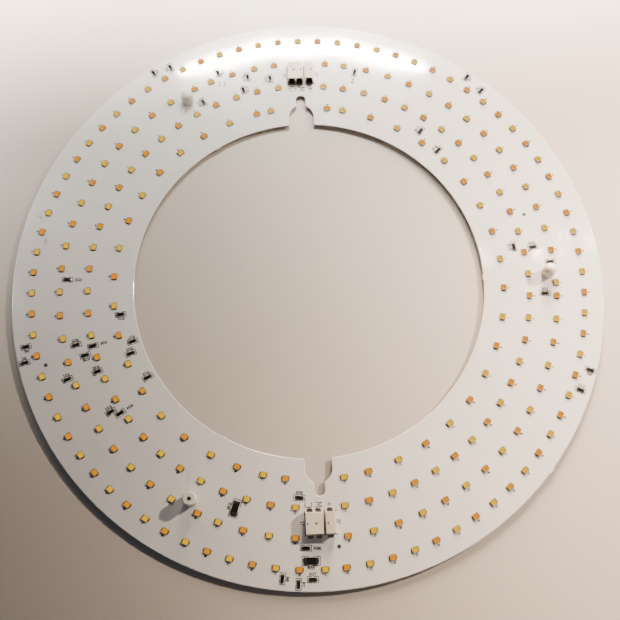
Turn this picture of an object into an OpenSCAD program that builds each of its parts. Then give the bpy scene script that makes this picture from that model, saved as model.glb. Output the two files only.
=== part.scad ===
// Ring-shaped LED board with two colour channels, supply terminals and support posts.
// Millimetres, +Z up, origin on the ring's axis, level with the feet that the plate stands on.
// +Y runs through one keyhole and its terminals, -Y through the other.

/* [Board] */
// Outer radius of the plate
board_outer_r = 150; // [147:0.5:160]
// Inner radius of the plate
board_inner_r = 89; // [84:0.5:91]
// Thickness of the plate
board_t = 1.6; // [1:0.1:3]
// Width of a break-off nib on the plate's edge
nib_w = 3; // [1:0.5:6]
// How far a break-off nib stands out of the edge
nib_out = 0.5; // [0.2:0.1:1]

/* [Keyholes] */
// Width of the mouth that lets a screw's head in
mouth_w = 13; // [10:0.5:16]
// Depth from the inner edge to the centre of the mouth's round end
mouth_depth = 5; // [3:0.5:7]
// Width of the narrow slot that holds the screw's shank
slot_w = 5; // [4.5:0.25:8]
// Distance from the mouth's round end to the slot's round end, centre to centre
slot_run = 10; // [8:0.5:12]

/* [LED circles] */
// Distance from the outer edge to the outermost circle of LEDs
ring_margin = 10; // [8:0.5:11]
// Distance from the inner edge to the innermost circle of LEDs
inner_margin = 10; // [9:0.5:11]
// How much closer the two innermost circles lie than the others
inner_tuck = 1; // [0:0.25:2]

/* [LED package] */
// Length along the ring, over the leads
led_l = 3.5; // [3:0.1:4]
// Width across the ring
led_w = 2.8; // [2.4:0.1:3.2]
// Height above the board
led_h = 0.75; // [0.7:0.05:1]
// Thickness of a lead
lead_t = 0.15; // [0.1:0.05:0.2]
// Length of a lead that shows beyond the housing
lead_show = 0.2; // [0.1:0.05:0.4]
// Width of a lead across the ring
lead_w = 2; // [1.4:0.1:2.3]
// Gap between the two leads under the housing
lead_gap = 0.9; // [0.5:0.1:1.2]
// Wall of the housing around its pocket
led_wall = 0.2; // [0.15:0.05:0.4]
// Depth of the pocket
pocket_depth = 0.4; // [0.2:0.05:0.45]
// How far the phosphor lies below the housing's rim
phosphor_drop = 0.03; // [0.01:0.01:0.1]
// Cut corner of the pocket that marks the cathode
pocket_cut = 0.5; // [0.3:0.05:0.7]

/* [Terminals] */
// Pitch of the poles
pole_pitch = 4; // [3.8:0.1:4.5]
// Wall added outside the outermost poles, on each side
term_side = 0.1; // [0:0.05:0.3]
// Gap between the two-pole and the one-pole block
term_gap = 1.3; // [0.5:0.05:1.6]
// Sideways shift of the blocks from the keyhole's axis
term_shift = 0.4; // [0:0.1:0.8]
// Length of a block from its wire side to its back
term_l = 11.1; // [10.5:0.1:12]
// Height of a block
term_h = 5.2; // [4.8:0.1:6]
// Chamfer along the wire side's top edge
term_front_chamfer = 1.05; // [0.8:0.05:1.3]
// Chamfer along the back's top edge
term_back_chamfer = 0.5; // [0.2:0.1:1]
// Radius of a wire entry
entry_r = 1.15; // [0.8:0.05:1.2]
// Width of the funnel at its mouth
funnel_w = 3.2; // [2.6:0.1:3.4]
// Wall under the funnel's mouth
funnel_sill = 0.8; // [0.6:0.05:0.9]
// Band of the chamfer that is left over the funnel's mouth, measured down and along
funnel_lip = 0.3; // [0.2:0.05:0.5]
// Length of the funnel
funnel_l = 2.2; // [1.8:0.1:2.2]
// Height of the wire's axis above the board
entry_z = 2.3; // [2.1:0.1:2.6]
// Wall between the wire side and the contact's chamber
term_front_wall = 3; // [2.2:0.1:3.4]
// Wall between the contact's chamber and the back
term_back_wall = 1.2; // [0.8:0.1:2]
// Roof over the contact's chamber
term_roof = 0.8; // [0.5:0.1:1]
// Wall between the chambers of two poles
pole_wall = 0.7; // [0.5:0.05:0.9]
// Width of the release slot in the roof
release_w = 0.8; // [0.5:0.05:0.9]
// Length of the release slot, along the wire
release_l = 1.2; // [1:0.1:1.8]
// Offset of the release slot from its pole, along the block
release_x = 1.25; // [0.6:0.05:1.25]
// Distance of the release slot from the wire side
release_y = 6; // [4.5:0.1:7]

/* [Contacts] */
// Thickness of the sheet that a contact is stamped from
contact_t = 0.25; // [0.2:0.05:0.35]
// Width of a solder tab
tab_w = 2.7; // [2.2:0.1:2.8]
// Radius of a solder tab's corners
tab_round = 0.8; // [0.2:0.1:1]
// Length of a solder tab outside the housing
tab_out = 1.2; // [0.6:0.1:1.6]
// Clearance of a contact in its housing
contact_clear = 0.15; // [0.1:0.05:0.25]
// Height of a contact's side walls above the board
cage_h = 3.4; // [3:0.1:3.7]
// Gap between the tips of the two clamp leaves
leaf_gap = 0.4; // [0.2:0.1:0.8]
// Length of a clamp leaf along the wire
leaf_l = 3.2; // [2:0.1:4]

/* [Posts] */
// Radius of a support post
post_r = 3.2; // [2.8:0.1:3.6]
// Height of a post above the board
post_h = 8.5; // [6:0.5:14]
// Height of the dome on a closed post
dome_h = 2.4; // [1.2:0.1:2.8]
// Bevel round the flat top of the open post
open_bevel = 0.5; // [0.2:0.1:0.8]
// Radius of the hole in the open post's top
open_hole_r = 1; // [0.6:0.1:1.4]
// Depth of that hole
open_hole_d = 5; // [2:0.5:5.5]
// Radius of the shank that goes through the board
shank_r = 2; // [1.5:0.1:2.4]
// Radius of the staked head under the board, which is the post's foot
foot_r = 3; // [2.6:0.1:3.6]
// Height of that head
foot_h = 1; // [0.6:0.1:2]
// Bevel round the head's lower edge
foot_bevel = 0.3; // [0.1:0.1:0.5]
// Clearance between the shank and its hole
shank_clear = 0.1; // [0.05:0.05:0.2]

/* [Chip resistors] */
// Length of a small chip
small_l = 3.2; // [2.6:0.1:3.6]
// Width of a small chip
small_w = 1.6; // [1.2:0.1:2]
// Height of a small chip without its coat
small_h = 0.55; // [0.4:0.05:0.8]
// Length of a small chip's plated end
small_band = 0.35; // [0.25:0.05:0.7]
// Length of a large chip
large_l = 6.3; // [5.8:0.1:6.8]
// Width of a large chip
large_w = 3.2; // [2.8:0.1:3.6]
// Height of a large chip without its coat
large_h = 0.6; // [0.4:0.05:0.9]
// Length of a large chip's plated end
large_band = 1; // [0.5:0.05:1.2]
// Thickness of the plating on a chip's ends
plating_t = 0.05; // [0.03:0.01:0.08]
// Thickness of the black coat
coat_t = 0.08; // [0.05:0.01:0.12]
// Bare strip between the coat and the chip's edges
coat_inset = 0.08; // [0.04:0.01:0.15]

/* [Hidden] */

// Smoothness of the small and of the large round shapes
$fn = 48;
large_fn = 240;
// Overlap that makes a cut or a joint inside one solid clean
eps = 0.05;

// Radii of the four LED circles, from the outermost inwards
ring_r1 = board_outer_r - ring_margin;
ring_r4 = board_inner_r + inner_margin;
ring_pitch = (ring_r1 - ring_r4 + inner_tuck) / 3;
ring_r2 = ring_r1 - ring_pitch;
ring_r3 = ring_r2 - ring_pitch;
ring_radii = [ring_r1, ring_r2, ring_r3, ring_r4];

// Places of LEDs round each circle, and the direction of the first one in degrees
ring_places = [80, 64, 60, 40];
ring_first_turns = [0, 0, 0, 4.95];
// Places left empty where the terminals stand
ring_empty = [[], [16, 48], [15, 45], []];
// Places that step aside for posts, terminals and keyholes, each with its step in degrees
ring_step_turns = [
    [[60, 0.4]],
    [[0, -2.4], [15, -0.9], [17, 0.6], [21, -1.2], [43, 0.8]],
    [[14, -0.5]],
    [[9, -4.1], [10, 4.5], [27, -1], [28, -2.4], [29, -5.2], [30, 2]]
];

// Heights of the plate's underside and of its face
board_z = foot_h;
face_z = board_z + board_t;

// Lanes across the ring: 0 is the outer edge, 1 to 4 are the LED circles, 5 is the inner edge
lanes = [
    [0, board_outer_r], [1, ring_r1], [2, ring_r2], [3, ring_r3], [4, ring_r4], [5, board_inner_r]
];
function lane_r(lane) = lookup(lane, lanes);

// Small chips, each with its lane, its direction in degrees and its turn from the radius
chip_pair_turns = [[51.3, 47], [122.8, 119.1], [194.2, 191.1], [265.4, 262.4], [339.4, 334.9]];
paired_chip_places = [for (pair = chip_pair_turns) each [[0.35, pair[0], 0], [0.55, pair[1], 0]]];
lone_chip_places = [
    [1.73, 110, 0], [2.28, 103.4, 0], [2.53, 97.8, 0], [2.77, 105.5, 0], [2.64, 116.7, 0], [2.19, 75.8, 0],
    [3.59, 52.5, 0], [3.85, 44.6, 0], [3.36, 8, 90], [2.64, 7, 0], [2.12, 2.7, 0], [2.43, -5.2, 0],
    [2.24, 177, 0], [4.27, 187.8, 0], [2.4, 193.4, 0], [2.96, 194.8, 0], [4.57, 197, 0], [2.62, 196.5, 0],
    [4.3, 200.3, 0], [2.84, 201.5, 0], [1.79, 200.5, 0], [4.55, 209.3, 0], [2.63, 212, 0], [2.87, 213.6, 0],
    [3.35, 264.8, 90], [1.69, 266.6, 90], [0.57, 268, 90]
];
small_chip_places = concat(paired_chip_places, lone_chip_places);
large_chip_places = [[2.61, 250, 0], [1.28, 267.7, 90]];

// Posts stand a third of a turn apart, in the lane between the second and third circles
post_place = 2.29;
post_turns = [0, 120, 240];
post_circle_r = lane_r(post_place);

// Nibs: their directions on the inner and on the outer edge
inner_nib_turns = [-0.8, 120.5, 239.5];
outer_nib_turns = [-41.8];

// Terminal blocks stand halfway between the second and third circles
term_front_r = (ring_r2 + ring_r3) / 2 - term_l / 2;
two_pole_w = 2 * pole_pitch + 2 * term_side;
one_pole_w = pole_pitch + 2 * term_side;
term_row_w = two_pole_w + term_gap + one_pole_w;
two_pole_x = two_pole_w / 2 - term_row_w / 2;
one_pole_x = term_row_w / 2 - one_pole_w / 2;

// Chamber of one pole, and the cage of the contact in it
chamber_w = pole_pitch - pole_wall;
chamber_l = term_l - term_front_wall - term_back_wall;
chamber_h = term_h - term_roof;
cage_w = chamber_w - 2 * contact_clear;
cage_l = chamber_l - 2 * contact_clear;
cage_y = term_front_wall + contact_clear;

// Housing of an LED, and the pocket in it
housing_l = led_l - 2 * lead_show;
housing_h = led_h - lead_t;
pocket_l = housing_l - 2 * led_wall;
pocket_w = led_w - 2 * led_wall;

// Step of place i on circle c
function led_step(c, i) = let (found = [for (s = ring_step_turns[c]) if (s[0] == i) s[1]])
    len(found) > 0 ? found[0] : 0;

// Places of circle c that hold an LED, of one colour: 0 cool, 1 warm
function led_places(c, colour) = [
    for (i = [0 : ring_places[c] - 1]) if (i % 2 == colour && len(search(i, ring_empty[c])) == 0) i
];
function led_angle(c, i) = ring_first_turns[c] + i * 360 / ring_places[c] + led_step(c, i);

// Sets its children on the board's face at radius r and direction a, with +X outwards
module on_board(r, a) {
    rotate(a) translate([r, 0, face_z]) children();
}

// Sets its children at every LED of one circle and colour
module at_leds(c, colour) {
    for (i = led_places(c, colour)) on_board(ring_radii[c], led_angle(c, i)) children();
}

// Sets its children at every chip of a list, with +X along the chip
module at_chips(places) {
    for (chip = places) on_board(lane_r(chip[0]), chip[1]) rotate(chip[2]) children();
}

// Sets its children at the wire side of a terminal block, with +Y into the block
module at_terminal(side, x) {
    translate([x + side * term_shift, side * term_front_r, face_z]) rotate(side > 0 ? 0 : 180) children();
}

// Round-ended channel from y0 to y1, cut through the plate
module plate_channel(w, y0, y1) {
    translate([-w / 2, y0, -eps]) cube([w, y1 - y0, board_t + 2 * eps]);
    translate([0, y1, -eps]) cylinder(d = w, h = board_t + 2 * eps);
}

// Keyhole: a wide mouth from the inner edge, then a narrow slot
module keyhole() {
    mouth_y = board_inner_r + mouth_depth;
    plate_channel(mouth_w, board_inner_r - mouth_depth, mouth_y);
    plate_channel(slot_w, mouth_y, mouth_y + slot_run);
}

// Hole for a post's shank
module post_hole() {
    translate([0, 0, -eps]) cylinder(r = shank_r + shank_clear, h = board_t + 2 * eps);
}

// Break-off nib: a short arc of the edge, from radius r0 to r1
module nib(r0, r1) {
    turn = nib_w / r0 * 180 / PI;
    rotate(-turn / 2) rotate_extrude(angle = turn, $fn = large_fn)
        translate([r0, 0]) square([r1 - r0, board_t]);
}

module board() {
    color("whitesmoke") translate([0, 0, board_z]) difference() {
        union() {
            difference() {
                cylinder(r = board_outer_r, h = board_t, $fn = large_fn);
                translate([0, 0, -eps]) cylinder(r = board_inner_r, h = board_t + 2 * eps, $fn = large_fn);
            }
            for (a = inner_nib_turns) rotate(a) nib(board_inner_r - nib_out, board_inner_r + eps);
            for (a = outer_nib_turns) rotate(a) nib(board_outer_r - eps, board_outer_r + nib_out);
        }
        keyhole();
        rotate(180) keyhole();
        for (a = post_turns) rotate(a) translate([post_circle_r, 0, 0]) post_hole();
    }
}

// Outline of the pocket, with one corner cut
module pocket_outline() {
    x = pocket_w / 2;
    y = pocket_l / 2;
    polygon([[-x, -y], [x, -y], [x, y - pocket_cut], [x - pocket_cut, y], [-x, y]]);
}

module led_housing() {
    translate([0, 0, lead_t]) difference() {
        translate([-led_w / 2, -housing_l / 2, 0]) cube([led_w, housing_l, housing_h]);
        translate([0, 0, housing_h - pocket_depth]) linear_extrude(pocket_depth + eps) pocket_outline();
    }
}

module led_phosphor() {
    translate([0, 0, led_h - pocket_depth]) linear_extrude(pocket_depth - phosphor_drop) pocket_outline();
}

module led_lead_pair() {
    lead_l = (led_l - lead_gap) / 2;
    for (y = [-led_l / 2, lead_gap / 2]) translate([-lead_w / 2, y, 0]) cube([lead_w, lead_l, lead_t]);
}

module led_housings(c) {
    color("ivory") for (colour = [0, 1]) at_leds(c, colour) led_housing();
}

module led_leads(c) {
    color("silver") for (colour = [0, 1]) at_leds(c, colour) led_lead_pair();
}

module cool_phosphors(c) {
    color("gold") at_leds(c, 0) led_phosphor();
}

module warm_phosphors(c) {
    color("darkorange") at_leds(c, 1) led_phosphor();
}

// Middle of pole p in a block of some poles, along the block
function pole_x(poles, p) = (p - (poles - 1) / 2) * pole_pitch;

// Side profile of a terminal block, drawn as depth and height
module block_profile() {
    polygon([
        [0, 0], [term_l, 0], [term_l, term_h - term_back_chamfer], [term_l - term_back_chamfer, term_h],
        [term_front_chamfer, term_h], [0, term_h - term_front_chamfer]
    ]);
}

// Funnel of one pole: a wide mouth that opens through the chamfer and narrows to the wire entry
module funnel() {
    lip_y = term_front_chamfer - funnel_lip;
    lip_z = term_h - funnel_lip;
    slope = (lip_z - entry_z - entry_r) / (funnel_l - lip_y);
    mouth_h = lip_z + slope * lip_y - funnel_sill;
    hull() {
        translate([-funnel_w / 2, -eps, funnel_sill]) cube([funnel_w, eps, mouth_h]);
        translate([0, funnel_l - eps, entry_z]) rotate([-90, 0, 0]) cylinder(r = entry_r, h = eps, $fn = 32);
    }
}

// Release slot of one pole, through the roof
module release_slot() {
    run = (release_l - release_w) / 2;
    h = term_roof + 2 * eps;
    translate([release_x, release_y, chamber_h - eps]) {
        translate([-release_w / 2, -run, 0]) cube([release_w, 2 * run, h]);
        for (y = [-run, run]) translate([0, y, 0]) cylinder(d = release_w, h = h);
    }
}

// All that is open inside one pole: funnel, wire entry, chamber, release slot and tab slots
module pole_cavity() {
    tab_slot_w = tab_w + 2 * contact_clear;
    tab_slot_h = contact_t + contact_clear;
    funnel();
    translate([0, -eps, entry_z]) rotate([-90, 0, 0]) cylinder(r = entry_r, h = term_front_wall + 2 * eps);
    translate([-chamber_w / 2, term_front_wall, -eps]) cube([chamber_w, chamber_l, chamber_h + eps]);
    release_slot();
    translate([-tab_slot_w / 2, -eps, -eps]) cube([tab_slot_w, term_l + 2 * eps, tab_slot_h + eps]);
}

// Moulded housing of a block
module block_housing(poles) {
    w = poles * pole_pitch + 2 * term_side;
    difference() {
        translate([-w / 2, 0, 0]) rotate([90, 0, 90]) linear_extrude(w) block_profile();
        for (p = [0 : poles - 1]) translate([pole_x(poles, p), 0, 0]) pole_cavity();
    }
}

// Clamp leaf on the +X side: bent inwards from the cage's wire end, it closes on the wire
module clamp_leaf() {
    root_x = cage_w / 2 - contact_t / 2;
    tip_x = leaf_gap / 2;
    leaf_z = contact_t + contact_clear;
    translate([0, cage_y, leaf_z]) linear_extrude(cage_h - leaf_z) polygon([
        [root_x, 0], [root_x, 2 * contact_t],
        [tip_x + contact_t, leaf_l], [tip_x, leaf_l], [tip_x, leaf_l - contact_t]
    ]);
}

// Strip of a contact, with a round-cornered solder tab at each end
module contact_strip() {
    y0 = -tab_out;
    y1 = term_l + tab_out;
    x = tab_w / 2 - tab_round;
    translate([-tab_w / 2, y0 + tab_round, 0]) cube([tab_w, y1 - y0 - 2 * tab_round, contact_t]);
    translate([-x, y0, 0]) cube([2 * x, y1 - y0, contact_t]);
    for (cx = [-x, x], cy = [y0 + tab_round, y1 - tab_round])
        translate([cx, cy, 0]) cylinder(r = tab_round, h = contact_t);
}

// Stamped contact of one pole: strip with two tabs, cage floor, cage walls and clamp leaves
module contact() {
    contact_strip();
    translate([-cage_w / 2, cage_y, 0]) cube([cage_w, cage_l, contact_t]);
    for (side = [0, 1]) mirror([side, 0, 0]) {
        translate([cage_w / 2 - contact_t, cage_y, 0]) cube([contact_t, cage_l, cage_h]);
        clamp_leaf();
    }
}

module contacts(poles) {
    for (p = [0 : poles - 1]) translate([pole_x(poles, p), 0, 0]) contact();
}

module two_pole_housing(side) {
    color("wheat") at_terminal(side, two_pole_x) block_housing(2);
}

module one_pole_housing(side) {
    color("wheat") at_terminal(side, one_pole_x) block_housing(1);
}

module two_pole_contacts(side) {
    color("silver") at_terminal(side, two_pole_x) contacts(2);
}

module one_pole_contact(side) {
    color("silver") at_terminal(side, one_pole_x) contacts(1);
}

// Shank of a post, through the board, and the staked head under it
module post_shank() {
    translate([0, 0, -board_t - eps]) cylinder(r = shank_r, h = board_t + 2 * eps);
    translate([0, 0, -face_z]) {
        cylinder(r1 = foot_r - foot_bevel, r2 = foot_r, h = foot_bevel);
        translate([0, 0, foot_bevel]) cylinder(r = foot_r, h = foot_h - foot_bevel);
    }
}

// Post with a domed top
module domed_post(turn) {
    dome_r = (post_r * post_r + dome_h * dome_h) / (2 * dome_h);
    color("antiquewhite") on_board(post_circle_r, turn) {
        post_shank();
        intersection() {
            cylinder(r = post_r, h = post_h);
            translate([0, 0, post_h - dome_r]) union() {
                sphere(r = dome_r);
                translate([0, 0, -post_h]) cylinder(r = post_r, h = post_h - dome_h + dome_r);
            }
        }
    }
}

// Post with a flat top, bevelled round its edge, and a hole down its middle
module open_post(turn) {
    color("antiquewhite") on_board(post_circle_r, turn) difference() {
        union() {
            post_shank();
            cylinder(r = post_r, h = post_h - open_bevel);
            translate([0, 0, post_h - open_bevel])
                cylinder(r1 = post_r, r2 = post_r - open_bevel, h = open_bevel);
        }
        translate([0, 0, post_h - open_hole_d]) cylinder(r = open_hole_r, h = open_hole_d + eps);
    }
}

// Ceramic body of a chip, held between its plated ends
module chip_body(l, w, h) {
    translate([plating_t - l / 2, -w / 2, plating_t]) cube([l - 2 * plating_t, w, h - 2 * plating_t]);
}

// Plated ends of a chip, each folded over the body's end
module chip_ends(l, w, h, band) {
    for (side = [0, 1]) mirror([side, 0, 0])
        translate([l / 2, w / 2, 0]) rotate([90, 0, 0]) linear_extrude(w) polygon([
            [-band, 0], [0, 0], [0, h], [-band, h], [-band, h - plating_t],
            [-plating_t, h - plating_t], [-plating_t, plating_t], [-band, plating_t]
        ]);
}

// Black coat on a chip, between its plated ends
module chip_coat(l, w, h, band) {
    coat_l = l - 2 * band - 2 * coat_inset;
    coat_w = w - 2 * coat_inset;
    translate([-coat_l / 2, -coat_w / 2, h - plating_t]) cube([coat_l, coat_w, coat_t]);
}

module small_chip_bodies() {
    color("lightgray") at_chips(small_chip_places) chip_body(small_l, small_w, small_h);
}

module small_chip_ends() {
    color("silver") at_chips(small_chip_places) chip_ends(small_l, small_w, small_h, small_band);
}

module small_chip_coats() {
    color("black") at_chips(small_chip_places) chip_coat(small_l, small_w, small_h, small_band);
}

module large_chip_bodies() {
    color("lightgray") at_chips(large_chip_places) chip_body(large_l, large_w, large_h);
}

module large_chip_ends() {
    color("silver") at_chips(large_chip_places) chip_ends(large_l, large_w, large_h, large_band);
}

module large_chip_coats() {
    color("black") at_chips(large_chip_places) chip_coat(large_l, large_w, large_h, large_band);
}

board();
for (c = [0 : 3]) {
    led_housings(c);
    led_leads(c);
    cool_phosphors(c);
    warm_phosphors(c);
}
two_pole_housing(1);  // two_pole_housing_top
one_pole_housing(1);  // one_pole_housing_top
two_pole_housing(-1);  // two_pole_housing_bottom
one_pole_housing(-1);  // one_pole_housing_bottom
two_pole_contacts(1);  // two_pole_contacts_top
one_pole_contact(1);  // one_pole_contact_top
two_pole_contacts(-1);  // two_pole_contacts_bottom
one_pole_contact(-1);  // one_pole_contact_bottom
domed_post(post_turns[0]);  // domed_post_right
domed_post(post_turns[1]);  // domed_post_upper_left
open_post(post_turns[2]);  // open_post_lower_left
small_chip_bodies();
small_chip_ends();
small_chip_coats();
large_chip_bodies();
large_chip_ends();
large_chip_coats();
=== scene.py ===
"""Finishes, print, solder and studio for a ring-shaped LED board.

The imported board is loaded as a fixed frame. Each operator dresses one group of its pieces, and a panel
in the sidebar lists the operators with the sizes and colours that they use.
"""

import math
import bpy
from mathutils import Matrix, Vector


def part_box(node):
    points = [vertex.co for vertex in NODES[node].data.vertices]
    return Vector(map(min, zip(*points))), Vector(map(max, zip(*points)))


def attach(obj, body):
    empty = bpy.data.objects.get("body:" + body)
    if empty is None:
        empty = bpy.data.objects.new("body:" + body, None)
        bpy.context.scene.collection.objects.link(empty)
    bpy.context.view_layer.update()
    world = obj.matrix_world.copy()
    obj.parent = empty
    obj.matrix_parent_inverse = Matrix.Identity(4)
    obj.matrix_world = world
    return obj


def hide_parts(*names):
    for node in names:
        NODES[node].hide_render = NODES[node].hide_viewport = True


bl_info = {
    "name": "LED ring dresser",
    "version": (1, 0, 0),
    "blender": (4, 5, 0),
    "location": "View3D > Sidebar > LED ring",
    "description": "Dresses a ring-shaped LED board with finishes, print, solder and a studio",
    "category": "Object",
}

import bmesh
import bpy
from bpy.props import FloatProperty, FloatVectorProperty, PointerProperty
from mathutils import Matrix, Vector

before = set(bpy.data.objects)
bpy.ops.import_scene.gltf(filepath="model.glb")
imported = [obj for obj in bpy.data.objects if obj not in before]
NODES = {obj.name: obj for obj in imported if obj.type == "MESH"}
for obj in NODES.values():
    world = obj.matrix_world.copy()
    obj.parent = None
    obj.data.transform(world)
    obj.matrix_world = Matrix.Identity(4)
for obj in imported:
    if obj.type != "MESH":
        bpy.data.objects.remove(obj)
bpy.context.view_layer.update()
BODY = "root"
MM = 0.001
QUARTER = math.pi / 2

# Numbers of the LED circles in the nodes' names, from the outermost inwards
CIRCLES = (1, 2, 3, 4)
SIDES = ("top", "bottom")
TERMINAL_HOUSINGS = [f"{poles}_housing_{side}" for side in SIDES for poles in ("two_pole", "one_pole")]
TERMINAL_CONTACTS = [
    f"{contact}_{side}" for side in SIDES for contact in ("two_pole_contacts", "one_pole_contact")
]
POSTS = ["domed_post_right", "domed_post_upper_left", "open_post_lower_left"]
CHIP_SIZES = ("small", "large")

# Points of a mesh that are closer than this are one point
WELD = 0.001 * MM
# Edges that turn by more than this are rounded
SHARP = math.radians(40)
# Golden section, which spreads the tints of one phosphor after another evenly
TINT_STEP = 0.618034
# Sides of a round dot
DOT_SIDES = 24
# Width of a chip's solder against that of the chip
CHIP_JOINT = 1.1
# The camera sees nothing that is nearer than this
NEAREST = 0.01

# Brackets leave one part in this many of the length that they enclose open
BRACKET_PARTS = 3
# Share of the ink's thickness that lies below the board's face
INK_SUNK = 0.25

# The board's layers meet between a depth and this many times that depth
FADE = 1.1
# A housing's sides, painted dark for their shade, end between a height and this many times that height
FOOT_FADE = 1.05
# Share of a smudge's radius within which it is darkest
SMUDGE_CORE = 0.2
# How much each texture changes the colour of its finish
MASK_CLOUDS, MASK_GAPS, SMUDGE_COVER = 0.5, 0.35, 0.5
PHOSPHOR_WALL, PHOSPHOR_TINT, PHOSPHOR_SPECKS = 0.6, 0.35, 0.25
FLOOR_CLOUDS, FLOOR_FIBRES = 0.8, 0.4
# Heights of the fine relief
BRUSH_H, TIN_H, PHOSPHOR_H, INK_WEAR_H, FIBRE_H = 0.01 * MM, 0.02 * MM, 0.008 * MM, 0.004 * MM, 0.05 * MM

UNDER_Z, FACE_Z = (corner.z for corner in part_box("board"))
OUTER_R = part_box("board")[1].x
INNER_R = min(math.hypot(vert.co.x, vert.co.y) for vert in NODES["board"].data.vertices)


# Places on the board, read from the frame


def solids(node):
    """Points of each separate solid in a CAD node, in the order of the node's mesh."""
    mesh = bmesh.new()
    mesh.from_mesh(NODES[node].data)
    bmesh.ops.remove_doubles(mesh, verts=mesh.verts, dist=WELD)
    mesh.verts.index_update()
    seen = set()
    found = []
    for seed in mesh.verts:
        if seed.index in seen:
            continue
        seen.add(seed.index)
        group = [seed]
        for vert in group:
            for edge in vert.link_edges:
                other = edge.other_vert(vert)
                if other.index not in seen:
                    seen.add(other.index)
                    group.append(other)
        found.append([vert.co.copy() for vert in group])
    mesh.free()
    return found


def reach(points):
    """Lowest and highest corner of the box round some points."""
    return [Vector([pick(p[i] for p in points) for i in range(3)]) for pick in (min, max)]


def stand(x, y, z, turn=0.0):
    """Matrix that sets a form at a point, turned about the board's normal."""
    return Matrix.Translation((x, y, z)) @ Matrix.Rotation(turn, 4, "Z")


class Spot:
    """A place on the board's face: where a solid stands, which way it points and how large it is.

    Local +X points away from the ring's axis, or along the solid where it lies across.
    """

    def __init__(self, points):
        self.points = points
        middle = sum(points, Vector()) / len(points)
        self.turn = math.atan2(middle.y, middle.x)
        low, high = self._reach()
        if high.y - low.y > high.x - low.x:
            self.turn += QUARTER
            low, high = self._reach()
        centre = Matrix.Rotation(self.turn, 3, "Z") @ ((low + high) / 2)
        self.size = high - low
        self.centre = Vector((centre.x, centre.y, FACE_Z))
        self.radius = math.hypot(centre.x, centre.y)
        self.low_z = low.z - FACE_Z
        self.high_z = high.z - FACE_Z

    def _reach(self):
        return reach([Matrix.Rotation(-self.turn, 3, "Z") @ p for p in self.points])

    def place(self, x=0.0, y=0.0, turn=0.0):
        """Matrix that sets a form at a point of this place, turned against it."""
        return stand(*self.centre, self.turn) @ stand(x, y, 0.0, turn)


def spots(node):
    """Places of a CAD node's solids."""
    return [Spot(points) for points in solids(node)]


LED_SPOTS = {c: spots(f"led_housings_{c}") for c in CIRCLES}
ALL_LEDS = [spot for c in CIRCLES for spot in LED_SPOTS[c]]
CHANNEL_SPOTS = {
    channel: [spot for c in CIRCLES for spot in spots(f"{channel}_phosphors_{c}")]
    for channel in ("cool", "warm")
}
ALL_CHIPS = [spot for size in CHIP_SIZES for spot in spots(f"{size}_chip_bodies")]
TERMINAL_CORNERS = [
    Vector((x, y, FACE_Z))
    for low, high in map(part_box, TERMINAL_HOUSINGS) for x in (low.x, high.x) for y in (low.y, high.y)
]
CIRCLE_RADII = [sum(spot.radius for spot in LED_SPOTS[c]) / len(LED_SPOTS[c]) for c in CIRCLES]


# Forms, each as points and faces in local coordinates


def prism(outline, low, high):
    """Closed prism over an outline, from one height to another."""
    count = len(outline)
    points = [(x, y, z) for z in (low, high) for x, y in outline]
    sides = [(i, (i + 1) % count, count + (i + 1) % count, count + i) for i in range(count)]
    return points, [tuple(reversed(range(count))), tuple(range(count, 2 * count))] + sides


def arc(centre, radius, first, sweep, steps):
    """Points along an arc, with both of its ends."""
    turns = [first + sweep * i / steps for i in range(steps + 1)]
    return [(centre[0] + radius * math.cos(turn), centre[1] + radius * math.sin(turn)) for turn in turns]


def stroke_outline(start, end, width, steps=4):
    """Outline of a pen stroke with round ends."""
    along = math.atan2(end[1] - start[1], end[0] - start[0])
    tip = arc(end, width / 2, along - QUARTER, math.pi, steps)
    return tip + arc(start, width / 2, along + QUARTER, math.pi, steps)


def fillet(length, width, height, steps=3, across=6, rounding=0.35, taper=0.2):
    """Solder fillet: a hollow slope from an upright end at x = 0 down to the board.

    Its length shrinks by the rounding towards its corners, and its width by the taper towards its tip.
    """
    points = []
    for i in range(steps + 1):
        u = i / steps
        for j in range(across + 1):
            v = 2 * j / across - 1
            rise = (1 - u) ** 2 * math.sqrt(1 - v ** 4)
            x = u * length * (1 - rounding * v * v)
            y = v * width / 2 * (1 - taper * u * u)
            points.append((x, y, height * rise))
    row = across + 1
    faces = [
        (i * row + j, (i + 1) * row + j, (i + 1) * row + j + 1, i * row + j + 1)
        for i in range(steps) for j in range(across)
    ]
    back = tuple(range(row))
    left = [i * row for i in range(steps + 1)]
    right = [i * row + across for i in range(steps + 1)]
    front = [steps * row + j for j in range(1, across)]
    under = tuple(reversed(left + front + list(reversed(right))))
    return points, faces + [back, under]


def dish(outline, low, high, depth, steps=5, crowding=1.5):
    """Filled pocket whose surface sinks towards its middle; also gives each point's share of the way in.

    The rings of points crowd towards the wall.
    """
    count = len(outline)
    rings = [1 - (i / steps) ** crowding for i in range(steps)]
    points = [(x, y, low) for x, y in outline]
    inward = [0.0] * count
    for share in rings:
        points += [(x * share, y * share, high - depth * (1 - share ** 2)) for x, y in outline]
        inward += [1 - share] * count
    points.append((0.0, 0.0, high - depth))
    inward.append(1.0)
    faces = [tuple(reversed(range(count)))]
    for ring in range(len(rings)):
        for i in range(count):
            a, b = ring * count + i, ring * count + (i + 1) % count
            faces.append((a, b, b + count, a + count))
    last = len(rings) * count
    faces += [(last + i, last + (i + 1) % count, last + count) for i in range(count)]
    return points, faces, inward


def refine(outline, step):
    """The same outline with more points along its long edges."""
    fine = []
    for a, b in zip(outline, outline[1:] + outline[:1]):
        count = max(1, round(math.dist(a, b) / step))
        fine += [(a[0] + (b[0] - a[0]) * i / count, a[1] + (b[1] - a[1]) * i / count) for i in range(count)]
    return fine


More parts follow.
